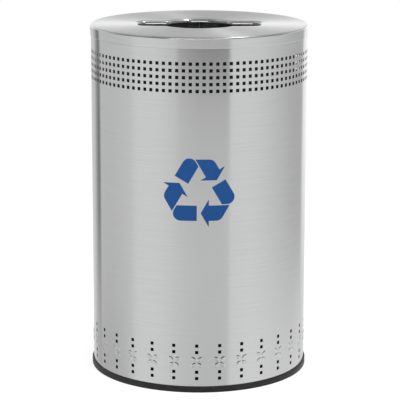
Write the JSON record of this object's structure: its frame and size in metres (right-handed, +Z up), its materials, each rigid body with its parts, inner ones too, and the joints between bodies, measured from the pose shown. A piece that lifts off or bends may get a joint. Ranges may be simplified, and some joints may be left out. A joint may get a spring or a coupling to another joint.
{
  "type": "recycling bin",
  "caption": "Round brushed-steel recycling bin with perforated bands, a lift-off lid with a combined round and slot opening, a lift-out liner and a vinyl floor ring.",
  "frame": {"origin": "centre of the floor ring's underside, on the floor", "axes": "+Z up along the bin's axis, -Y towards the front with the recycling mark, +X to the right seen from the front"},
  "size_m": [0.613, 0.613, 0.978],
  "materials": {
    "stainless": "brushed",
    "inner_steel": "satin galvanised",
    "bumper_rubber": "matt",
    "floor_vinyl": "satin",
    "mark_film": "gloss film",
    "liner_plastic": "matt"
  },
  "bodies": {
    "body": {"outer_shell": "stainless", "top_hoop": "inner_steel", "lid_bumpers": "bumper_rubber", "base_pan": "inner_steel", "floor_ring": "floor_vinyl", "recycling_mark": "mark_film"},
    "liner": {"liner": "liner_plastic"},
    "lid": {"lid_cover": "stainless"}
  },
  "joints": [
    {"name": "liner_lift", "type": "slide", "parent": "body", "child": "liner", "axis": [0, 0, 1], "range_m": [0, 0.96]},
    {"name": "lid_lift", "type": "slide", "parent": "liner", "child": "lid", "axis": [0, 0, 1], "range_m": [0, 0.3]}
  ]
}
